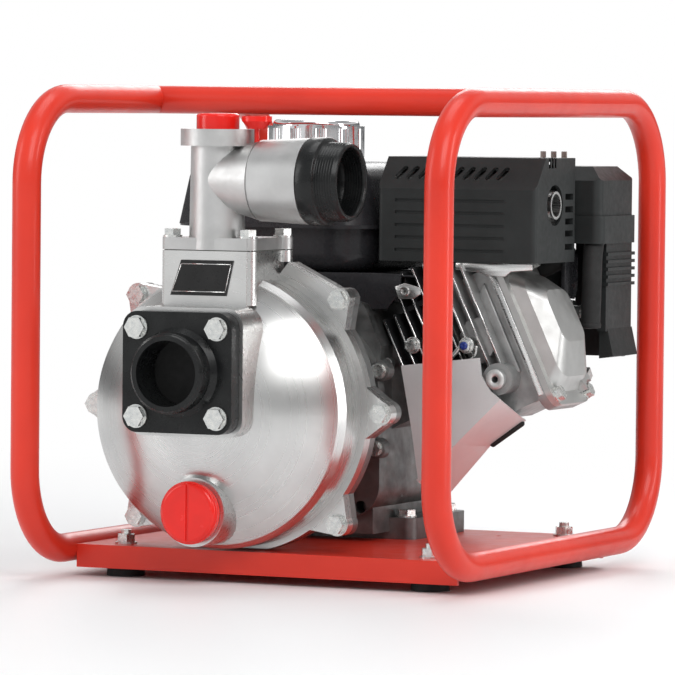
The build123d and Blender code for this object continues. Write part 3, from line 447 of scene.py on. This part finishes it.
def chrome_plate():
    metal = Surface("chrome_plate", (0.82, 0.82, 0.83), 1.0, 0.08)
    metal.rough(metal.noise(80, 4), 0.05, 0.14)
    metal.tint(metal.noise(25, 3), (0.74, 0.74, 0.75), (0.86, 0.86, 0.87))
    return metal.material


def paper_filter():
    paper = Surface("paper_filter", (0.72, 0.62, 0.40), 0.0, 0.9)
    pleats = paper.node("ShaderNodeTexWave")
    pleats.inputs["Scale"].default_value = 160
    pleats.inputs["Distortion"].default_value = 0.3
    paper.link(paper.position(), pleats.inputs["Vector"])
    paper.bump(pleats.outputs["Fac"], 0.0012, 0.8)
    # Colour follows the pleat wave, darker in the valleys: painted shade in the pleat folds.
    paper.tint(pleats.outputs["Fac"], (0.50, 0.42, 0.26), (0.78, 0.68, 0.46), 0.1, 0.9)
    return paper.material


def fibre():
    sheet = Surface("fibre", (0.07, 0.075, 0.07), 0.0, 0.85)
    sheet.tint(sheet.noise(500, 4), (0.04, 0.043, 0.04), (0.12, 0.12, 0.11))
    sheet.bump(sheet.noise(800, 3), 0.00015, 0.6)
    return sheet.material


def ceramic_face():
    face = Surface("ceramic_face", (0.78, 0.76, 0.70), 0.0, 0.25)
    face.tint(face.noise(60, 3), (0.72, 0.70, 0.64), (0.84, 0.82, 0.77))
    face.rough(face.noise(90, 3), 0.18, 0.3)
    return face.material


def scorched_steel():
    """Heat-tinted sheet steel."""
    metal = Surface("scorched_steel", (0.3, 0.27, 0.24), 1.0, 0.45)
    metal.tint(metal.noise(28, 5), (0.16, 0.13, 0.11), (0.42, 0.40, 0.38))
    metal.rough(metal.noise(150, 4), 0.35, 0.6)
    metal.bump(metal.noise(300, 3), 0.0002, 0.5)
    return metal.material


MATERIALS = {
    "red_paint": red_enamel(),
    "cast_aluminium": polished_casting(),
    "grey_casting": sand_casting("grey_casting", (0.15, 0.155, 0.155), (0.31, 0.315, 0.31)),
    "bright_cover": sand_casting(
        "bright_cover", (0.48, 0.48, 0.47), (0.60, 0.60, 0.59), (0.38, 0.50), 900, 0.00006),
    "black_iron": black_coat(),
    "fin_black": moulded("fin_black", (0.016, 0.017, 0.018), (0.32, 0.46), 800, 0.00015),
    "zinc": zinc_plate(),
    "steel": brushed("steel", (0.62, 0.62, 0.61)),
    "iron": sand_casting("iron", (0.10, 0.10, 0.10), (0.24, 0.24, 0.24), (0.4, 0.6)),
    "piston_alloy": brushed("piston_alloy", (0.74, 0.74, 0.73)),
    "rubber": moulded("rubber", (0.014, 0.014, 0.014), (0.55, 0.75), 900, 0.00015),
    "gasket": fibre(),
    "ceramic": ceramic_face(),
    "red_plastic": gloss_plastic("red_plastic", (0.86, 0.018, 0.012)),
    "badge_black": moulded("badge_black", (0.012, 0.012, 0.012), (0.25, 0.35), 1200, 0.00004),
    "black_plastic": moulded("black_plastic", (0.016, 0.018, 0.018)),
    "tank_paint": moulded("tank_paint", (0.018, 0.018, 0.020), (0.22, 0.32), 500, 0.00005),
    "chrome": chrome_plate(),
    "filter_foam": paper_filter(),
}
SCORCHED = scorched_steel()
RISER_FINISH = bead_blasted()
# Bright bare metal for edges and plates; on the fin strips it is painted highlight.
BRIGHT_METAL_AND_GLINT = brushed("bright_metal_and_glint", (0.80, 0.80, 0.79), (0.16, 0.30))
BRASS = brushed("brass", (0.70, 0.52, 0.24), (0.22, 0.36))
BLUE_CAP = gloss_plastic("blue_cap", (0.015, 0.035, 0.22))
SPECIAL_FINISH = {
    "riser_elbow": RISER_FINISH,
    "cylinder_shroud": satin_sheet(),
    "cylinder_head": head_casting(),
}
SMOOTH_ANGLE = radians(32)


def dress_cad_nodes():
    """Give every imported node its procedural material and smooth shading."""
    for entry in frame["record"]["subparts"]:
        node = NODES[entry["node"]]
        finish = SPECIAL_FINISH.get(entry["node"], MATERIALS[entry["material_slot"]])
        node.data.materials.clear()
        node.data.materials.append(finish)
        smooth(node)


def smooth(piece):
    for polygon in piece.data.polygons:
        polygon.use_smooth = True
    bpy.context.view_layer.objects.active = piece
    with bpy.context.temp_override(object=piece, active_object=piece, selected_objects=[piece]):
        bpy.ops.object.shade_auto_smooth(angle=SMOOTH_ANGLE)


# ---------------------------------------------------------------- mesh helpers
def place_frame(origin, x_axis, z_axis):
    """Matrix of a local frame from its origin, its X direction and its Z direction."""
    z = Vector(z_axis).normalized()
    y = z.cross(Vector(x_axis)).normalized()
    x = y.cross(z)
    return Matrix.Translation(origin) @ Matrix((x, y, z)).transposed().to_4x4()


def facing_front(x, distance, z):
    """Local Z points forwards, out of the front of the pump."""
    return place_frame((x, back(distance), z), RIGHTWARDS, FORWARDS)


def on_cylinder(u, v, distance):
    """Point u along the engine's cylinder axis from the crank and v across it."""
    return (
        PUMP_X + u * cos(CYL_TILT) - v * sin(CYL_TILT),
        back(distance),
        CRANK_Z + u * sin(CYL_TILT) + v * cos(CYL_TILT),
    )


def cylinder_front(u, v, distance):
    """Frame on the cylinder's front: local X runs along the cylinder, local Z forwards."""
    return place_frame(on_cylinder(u, v, distance), (cos(CYL_TILT), 0, sin(CYL_TILT)), FORWARDS)


def piece_from(name, shape, slot, material=None, body=MAIN_BODY, bevel=0.0):
    """Turn a bmesh into a named piece that rides on a body."""
    bmesh.ops.recalc_face_normals(shape, faces=shape.faces)
    mesh = bpy.data.meshes.new(name)
    shape.to_mesh(mesh)
    shape.free()
    piece = bpy.data.objects.new(name, mesh)
    bpy.context.scene.collection.objects.link(piece)
    mesh.materials.append(material or MATERIALS[slot])
    if bevel:
        rounding = piece.modifiers.new("rounding", "BEVEL")
        rounding.width = bevel
        rounding.segments = 2
        rounding.limit_method = "ANGLE"
    smooth(piece)
    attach(piece, body)
    return piece


def add_prism(shape, outline, matrix, depth):
    """Extrude a flat outline from local z 0 to depth."""
    low = [shape.verts.new(matrix @ Vector((x, y, 0))) for x, y in outline]
    high = [shape.verts.new(matrix @ Vector((x, y, depth))) for x, y in outline]
    shape.faces.new(low)
    shape.faces.new(high)
    for i, corner in enumerate(low):
        j = (i + 1) % len(low)
        shape.faces.new((corner, low[j], high[j], high[i]))


def add_lathe(shape, profile, matrix, steps=64):
    """Turn a closed outline of (radius, height) about local Z."""
    rings = []
    for i in range(steps):
        angle = 2 * pi * i / steps
        spots = [(r * cos(angle), r * sin(angle), h) for r, h in profile]
        rings.append([shape.verts.new(matrix @ Vector(spot)) for spot in spots])
    for i, ring in enumerate(rings):
        after = rings[(i + 1) % steps]
        for j in range(len(profile)):
            k = (j + 1) % len(profile)
            shape.faces.new((ring[j], ring[k], after[k], after[j]))


def add_sweep(shape, points, radius, sides=14, cuts=8):
    """Round rod or moulded hose along a smooth line through the points."""
    path = smooth_path(points, cuts)
    rings = []
    side = None
    for i, point in enumerate(path):
        ahead = path[min(i + 1, len(path) - 1)] - path[max(i - 1, 0)]
        ahead.normalize()
        guess = side if side is not None else ahead.orthogonal()
        side = (guess - ahead * guess.dot(ahead)).normalized()
        other = ahead.cross(side)
        angles = [2 * pi * k / sides for k in range(sides)]
        rings.append([shape.verts.new(point + radius * (side * cos(a) + other * sin(a))) for a in angles])
    for ring, after in zip(rings, rings[1:]):
        for k in range(sides):
            m = (k + 1) % sides
            shape.faces.new((ring[k], ring[m], after[m], after[k]))
    shape.faces.new(rings[0])
    shape.faces.new(rings[-1])


def smooth_path(points, cuts):
    """Catmull-Rom line through the points."""
    knots = [Vector(p) for p in points]
    knots = [2 * knots[0] - knots[1]] + knots + [2 * knots[-1] - knots[-2]]
    path = []
    for a, b, c, d in zip(knots, knots[1:], knots[2:], knots[3:]):
        for step in range(cuts):
            t = step / cuts
            path.append(0.5 * (2 * b + (c - a) * t + (2 * a - 5 * b + 4 * c - d) * t * t
                               + (3 * b - a - 3 * c + d) * t * t * t))
    path.append(knots[-2])
    return path


def rectangle(x0, x1, y0, y1):
    return [(x0, y0), (x1, y0), (x1, y1), (x0, y1)]


def hexagon(radius):
    return [(radius * cos(i * pi / 3), radius * sin(i * pi / 3)) for i in range(6)]


def ring_outline(inner, outer, low, high):
    return [(inner, low), (outer, low), (outer, high), (inner, high)]


def thread_profile(start, end, crest, root):
    """Zigzag of (radius, height) for parallel ridges at the pipe thread's pitch."""
    profile = []
    height = start
    while height + THREAD_PITCH <= end:
        profile.append((root, height))
        profile.append((crest, height + CREST_START * THREAD_PITCH))
        profile.append((crest, height + CREST_END * THREAD_PITCH))
        height += THREAD_PITCH
    return profile + [(root, height)]


# ---------------------------------------------------------------- pipe threads
def discharge_nipple():
    """Cast-iron nipple: tail in the branch, collar, ridged thread and a bore with its own fine ridges."""
    matrix = place_frame((0, back(RISER_BACK), ELBOW_Z), UPWARDS, RIGHTWARDS)
    profile = [(0.0290, 0.030), (0.0290, 0.045), (0.0330, 0.0455), (0.0337, 0.0465), (0.0337, 0.0588),
               (0.0329, 0.060)]
    profile += thread_profile(0.0602, 0.0770, THREAD_R, THREAD_R - 0.0016)
    profile += [(0.0288, 0.078), (0.0262, 0.078)]
    profile += [(r, h) for r, h in reversed(thread_profile(0.0610, 0.0772, 0.0255, 0.0261))]
    profile += [(0.0250, 0.060), (0.0250, 0.030)]
    shape = bmesh.new()
    add_lathe(shape, profile, matrix, 96)
    piece = piece_from("discharge_nipple_threaded", shape, "black_iron")
    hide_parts("discharge_nipple")


def suction_thread():
    """Ridges on the stub of the suction flange."""
    matrix = facing_front(PUMP_X, 0, SUCTION_Z)
    profile = thread_profile(0.0205, 0.0338, THREAD_R + 0.0004, THREAD_R - 0.0004)
    profile += [(0.0285, profile[-1][1]), (0.0285, 0.0205)]
    shape = bmesh.new()
    add_lathe(shape, profile, matrix, 96)
    piece_from("suction_thread_ridges", shape, "black_iron")


# ---------------------------------------------------------------- engine details
def fin_edge_highlights():
    """Bright metal strips on the fronts of the cylinder's fins: painted highlight where the fin edges catch
    the light.
    """
    shape = bmesh.new()
    for i, top in enumerate(FIN_TOPS):
        matrix = cylinder_front(FIRST_FIN + i * FIN_PITCH + FIN_T / 2, 0, FIN_FRONT)
        half = 0.0007
        outline = rectangle(-half, half, FIN_FOOT, top - 0.0015)
        add_prism(shape, outline, matrix, 0.0004)
    piece_from("fin_edge_highlights", shape, "steel", BRIGHT_METAL_AND_GLINT)


def head_flange_edge():
    """Machined edge where the cover seats on the head."""
    shape = bmesh.new()
    matrix = cylinder_front(0.1836, 0, 0.224)
    add_prism(shape, rectangle(-0.0022, 0.0026, -0.074, 0.030), matrix, 0.0006)
    piece_from("head_flange_edge", shape, "steel", BRIGHT_METAL_AND_GLINT, bevel=0.0003)


def head_nuts():
    """Studs and nuts on the front of the cylinder and head, one with a blue lock cap."""
    metal = bmesh.new()
    cap = bmesh.new()
    for u, v, start, capped in ((0.1454, -0.0148, 0.229, True), (0.1032, 0.0037, 0.222, False)):
        depth = start - NUT_SEAT
        matrix = cylinder_front(u, v, start)
        add_lathe(metal, [(AXIS_R, 0), (0.0070, 0), (0.0066, depth), (AXIS_R, depth)], matrix, 32)
        top = cylinder_front(u, v, NUT_SEAT)
        add_lathe(metal, [(AXIS_R, 0), (0.0062, 0), (0.0062, 0.0010), (AXIS_R, 0.0010)], top, 32)
        add_prism(metal, hexagon(0.0053), top, 0.0044)
        if capped:
            dome = [(AXIS_R, 0.004), (0.0033, 0.004), (0.0031, 0.0062), (0.0020, 0.0068), (AXIS_R, 0.0069)]
            add_lathe(cap, dome, top, 32)
    piece_from("head_nuts", metal, "zinc", bevel=0.0003)
    piece_from("head_nut_cap", cap, "zinc", BLUE_CAP)


def head_strap():
    """Bent clip under the capped nut."""
    shape = bmesh.new()
    line = [(0.084, 0.164), (0.094, 0.1655), (0.104, 0.168), (0.1105, 0.173), (0.112, 0.181)]
    add_sweep(shape, [(x, back(0.2128), z) for x, z in line], 0.0013)
    line = [(0.086, 0.169), (0.092, 0.173), (0.098, 0.180)]
    add_sweep(shape, [(x, back(NUT_SEAT), z) for x, z in line], 0.0020)
    piece_from("head_strap", shape, "steel")


def head_bosses():
    """Raised pads cast on the front of the head, and the bright face of its lower boss."""
    shape = bmesh.new()
    matrix = cylinder_front(0, 0, HEAD_FRONT)
    nut_pad = [(0.1400, -0.0300), (0.1520, -0.0330), (0.1640, -0.0260), (0.1640, 0.0020), (0.1500, 0.0040),
               (0.1400, -0.0040)]
    long_pad = [(0.1660, -0.0500), (0.1740, -0.0500), (0.1740, 0.0260), (0.1660, 0.0200)]
    add_prism(shape, nut_pad, matrix, 0.0085)
    add_prism(shape, long_pad, matrix, 0.0030)
    piece_from("head_bosses", shape, "grey_casting", head_casting(), bevel=0.0012)
    face = bmesh.new()
    front_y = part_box("cylinder_head")[0][1]
    matrix = place_frame((BOSS_X, front_y, BOSS_Z), RIGHTWARDS, FORWARDS)
    add_lathe(face, ring_outline(0.0027, 0.0079, 0, 0.0004), matrix, 48)
    piece_from("boss_face", face, "steel", pale_face())


def shroud_crease_shade():
    """Dark strip along the shroud's lower edge: painted shade in the slot of its crease."""
    shape = bmesh.new()
    start = Vector((0.1150, 0.1020))
    end = Vector((0.1410, 0.1202))
    along = (end - start).normalized()
    across = Vector((-along.y, along.x)) * 0.0021
    corners = [start - across, end - across, end + along * 0.0016, end + across, start + across,
               start - along * 0.0016]
    add_prism(shape, [tuple(corner) for corner in corners], facing_front(0, 0.2405, 0), 0.0026)
    # The rubber finish only keeps this painted shade dark.
    piece_from("shroud_crease_shade", shape, "rubber", bevel=0.0008)


def drain_bead():
    """Turned groove on the face of the drain boss, round the plug."""
    shape = bmesh.new()
    low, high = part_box("drain_plug")
    middle_x = (low[0] + high[0]) / 2
    middle_z = (low[2] + high[2]) / 2
    radius = (high[0] - low[0]) / 2
    matrix = place_frame((middle_x, low[1] + 0.0032, middle_z), RIGHTWARDS, FORWARDS)
    profile = [(radius - 0.0004, -0.0016), (radius + 0.0007, -0.0012), (radius + 0.0009, 0.0),
               (radius + 0.0002, 0.0010), (radius - 0.0006, 0.0006)]
    add_lathe(shape, profile, matrix, 72)
    piece_from("drain_plug_bead", shape, "red_plastic", body="drain")


def case_lug():
    """Small lug with a bolt hole on the front of the crankcase."""
    shape = bmesh.new()
    matrix = facing_front(0.0361, 0.218, 0.1649)
    add_lathe(shape, ring_outline(0.0024, 0.0048, 0, 0.008), matrix, 32)
    piece_from("case_lug", shape, "grey_casting", bevel=0.0004)


def tank_cradle():
    """Black sheet bracket that carries the tank on the crankcase."""
    shape = bmesh.new()
    front = facing_front(0, 0.2115, 0)
    add_prism(shape, [(-0.100, 0.236), (-0.100, 0.222), (-0.086, 0.208), (0.036, 0.208), (0.048, 0.222),
                      (0.048, 0.236)], front, 0.0025)
    shelf = place_frame((0, 0, 0.2335), RIGHTWARDS, UPWARDS)
    add_prism(shape, rectangle(-0.100, 0.030, back(0.2115), back(0.330)), shelf, 0.0023)
    for x in (-0.098, 0.026):
        leg = place_frame((x, 0, 0), REARWARDS, RIGHTWARDS)
        add_prism(shape, rectangle(back(0.214), back(0.328), 0.212, 0.2335), leg, 0.0023)
    piece_from("tank_cradle", shape, "tank_paint", bevel=0.0005)


def heat_plate():
    """Pale shield below the muffler's guard, and its bracket over the fins."""
    shape = bmesh.new()
    front = facing_front(0, 0.2175, 0)
    add_prism(shape, [(0.092, 0.2455), (0.092, 0.2400), (0.112, 0.2385), (0.118, 0.2355), (0.134, 0.2355),
                      (0.139, 0.2395), (0.157, 0.2410), (0.157, 0.2455)], front, 0.0012)
    piece_from("heat_plate", shape, "steel", BRIGHT_METAL_AND_GLINT, bevel=0.0003)
    tab = bmesh.new()
    add_prism(tab, [(0.044, 0.226), (0.047, 0.2165), (0.060, 0.2165), (0.066, 0.2205), (0.066, 0.2255),
                    (0.052, 0.229)], facing_front(0, 0.2090, 0), 0.0016)
    add_lathe(tab, ring_outline(0.0022, 0.0042, 0, 0.0030), facing_front(0.0525, 0.2085, 0.2225), 24)
    piece_from("guard_tab", tab, "steel", bevel=0.0003)


def deflectors():
    """Upright strips that stand behind the guard, over the carburettor."""
    shape = bmesh.new()
    for x in (0.128, 0.137, 0.146):
        add_prism(shape, rectangle(x, x + 0.0045, 0.252, 0.333), facing_front(0, 0.3005, 0), 0.0014)
    piece_from("deflector_strips", shape, "steel", SCORCHED, bevel=0.0003)


def breather_boot():
    """Moulded rubber elbow from the air cleaner towards the carburettor, with its two clamp beads."""
    shape = bmesh.new()
    line = [(0.166, 0.322, 0.262), (0.1675, 0.315, 0.250), (0.1690, 0.310, 0.234), (0.1695, 0.308, 0.214),
            (0.1690, 0.308, 0.196)]
    add_sweep(shape, [(x, back(b), z) for x, b, z in line], 0.0078, 28, 10)
    for x, b, z in (line[0], line[-1]):
        matrix = place_frame((x, back(b), z - 0.003), RIGHTWARDS, UPWARDS)
        add_lathe(shape, [(0.006, 0), (0.0081, 0.0005), (0.0085, 0.0025), (0.0081, 0.0045), (0.006, 0.005)],
                  matrix, 32)
    piece_from("breather_boot", shape, "rubber")


def guard_shade_plate():
    """Dark plate that closes the rear of the muffler's guard: painted shade for the inside seen through its
    slots.
    """
    shape = bmesh.new()
    outline = [(0.028, 0.248), (0.157, 0.248), (0.157, 0.318), (0.152, 0.3225), (0.034, 0.3225),
               (0.028, 0.317)]
    add_prism(shape, outline, facing_front(0, 0.2935, 0), 0.0012)
    piece_from("guard_shade_plate", shape, "black_plastic", bevel=0.0003)


def carburettor_fittings():
    """Brass and plated screws on the carburettor's side."""
    brass = bmesh.new()
    plated = bmesh.new()
    for distance, height, radius, length, is_brass in CARB_SCREWS:
        matrix = place_frame((0.1545, back(distance), height), REARWARDS, RIGHTWARDS)
        shape = brass if is_brass else plated
        washer = [(AXIS_R, 0), (radius, 0), (radius, length / 2), (AXIS_R, length / 2)]
        add_lathe(shape, washer, matrix, 28)
        add_prism(shape, hexagon(radius * 0.82), matrix, length)
    piece_from("carburettor_jets", brass, "steel", BRASS, bevel=0.0003)
    piece_from("carburettor_screws", plated, "zinc", bevel=0.0003)


def side_shield():
    """Black plate beside the plug cap, with a folded rim."""
    shape = bmesh.new()
    matrix = place_frame((0.1500, 0, 0), REARWARDS, RIGHTWARDS)
    outline = [(0.2995, 0.217), (0.318, 0.2155), (0.324, 0.222), (0.324, 0.250), (0.318, 0.256),
               (0.2995, 0.256)]
    add_prism(shape, [(back(b), z) for b, z in outline], matrix, 0.0012)
    rim = place_frame((0, back(0.2995), 0), RIGHTWARDS, FORWARDS)
    add_prism(shape, rectangle(0.1475, 0.1512, 0.222, 0.256), rim, 0.0012)
    piece_from("side_shield", shape, "tank_paint", bevel=0.0004)


def upper_duct():
    """Black sheet that guides the fan's air over the top of the fins."""
    shape = bmesh.new()
    outline = [(0.012, 0.214), (0.060, 0.214), (0.076, 0.226), (0.079, 0.235), (0.066, 0.2455),
               (0.012, 0.2355)]
    add_prism(shape, outline, facing_front(0, 0.3005, 0), 0.0014)
    lid = place_frame((0, 0, 0.2335), RIGHTWARDS, UPWARDS)
    add_prism(shape, rectangle(0.030, 0.058, back(0.2125), back(0.2995)), lid, 0.0014)
    piece_from("upper_duct", shape, "tank_paint", bevel=0.0004)


def throttle_rods():
    """Governor rod and its thin spring beside it, over the carburettor."""
    shape = bmesh.new()
    rod = [(0.060, 0.318, 0.222), (0.080, 0.319, 0.2225), (0.112, 0.319, 0.219), (0.126, 0.3195, 0.2165)]
    add_sweep(shape, [(x, back(b), z) for x, b, z in rod], 0.0009, 10)
    turns = 14
    coil = []
    for i in range(turns * 10):
        angle = 2 * pi * i / 10
        x = 0.074 + 0.036 * i / (turns * 10)
        coil.append((x, back(0.3245) + 0.0021 * cos(angle), 0.2215 + 0.0021 * sin(angle)))
    add_sweep(shape, coil, 0.0004, 6, 1)
    piece_from("throttle_rods", shape, "steel")


# ---------------------------------------------------------------- frame details
def weld_bead(shape, matrix, radius, thick, seed):
    """Rippled ring of weld around a tube end."""
    steps = 88
    sides = 8
    rings = []
    for i in range(steps):
        angle = 2 * pi * i / steps
        swell = 1 + 0.18 * sin(i * 2 * pi / 4 + seed) + 0.06 * sin(i * 1.7 + seed)
        ring = []
        for k in range(sides):
            around = 2 * pi * k / sides
            reach = radius + thick * swell * cos(around)
            spot = Vector((reach * cos(angle), reach * sin(angle), thick * swell * sin(around)))
            ring.append(shape.verts.new(matrix @ spot))
        rings.append(ring)
    for i, ring in enumerate(rings):
        after = rings[(i + 1) % steps]
        for k in range(sides):
            m = (k + 1) % sides
            shape.faces.new((ring[k], ring[m], after[m], after[k]))


def frame_welds():
    shape = bmesh.new()
    for side in (-1, 1):
        place = (side * (HOOP_X - TUBE_R + 0.0008), back(CROSS_BACK), TOP_Z)
        matrix = place_frame(place, REARWARDS, (side, 0, 0))
        weld_bead(shape, matrix, TUBE_R - 0.0016, 0.0012, side)
    piece_from("frame_welds", shape, "red_paint")


def badge_rim():
    """Plain raised rim round the blank badge."""
    outline = [(-0.026, -0.0110), (0.021, -0.0110), (0.026, 0.0110), (-0.018, 0.0110)]
    shape = bmesh.new()
    box_low, box_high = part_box("name_badge")
    middle = ((box_low[0] + box_high[0]) / 2, box_low[1], (box_low[2] + box_high[2]) / 2)
    matrix = place_frame(middle, RIGHTWARDS, FORWARDS)
    inset = 0.0008
    for i, corner in enumerate(outline):
        after = outline[(i + 1) % 4]
        start = Vector(corner) * (1 - inset / 0.02)
        end = Vector(after) * (1 - inset / 0.02)
        along = (end - start).normalized() * 0.0003
        across = Vector((-along.y, along.x))
        quad = [start - along - across, end + along - across, end + along + across, start - along + across]
        add_prism(shape, [tuple(p) for p in quad], matrix, 0.0003)
    piece_from("badge_rim", shape, "steel", BRIGHT_METAL_AND_GLINT)


make_camera()
make_floor()
make_world()
make_lights()
dress_cad_nodes()
discharge_nipple()
suction_thread()
fin_edge_highlights()
head_flange_edge()
head_nuts()
head_strap()
head_bosses()
shroud_crease_shade()
drain_bead()
case_lug()
tank_cradle()
heat_plate()
deflectors()
breather_boot()
guard_shade_plate()
carburettor_fittings()
side_shield()
upper_duct()
throttle_rods()
frame_welds()
badge_rim()
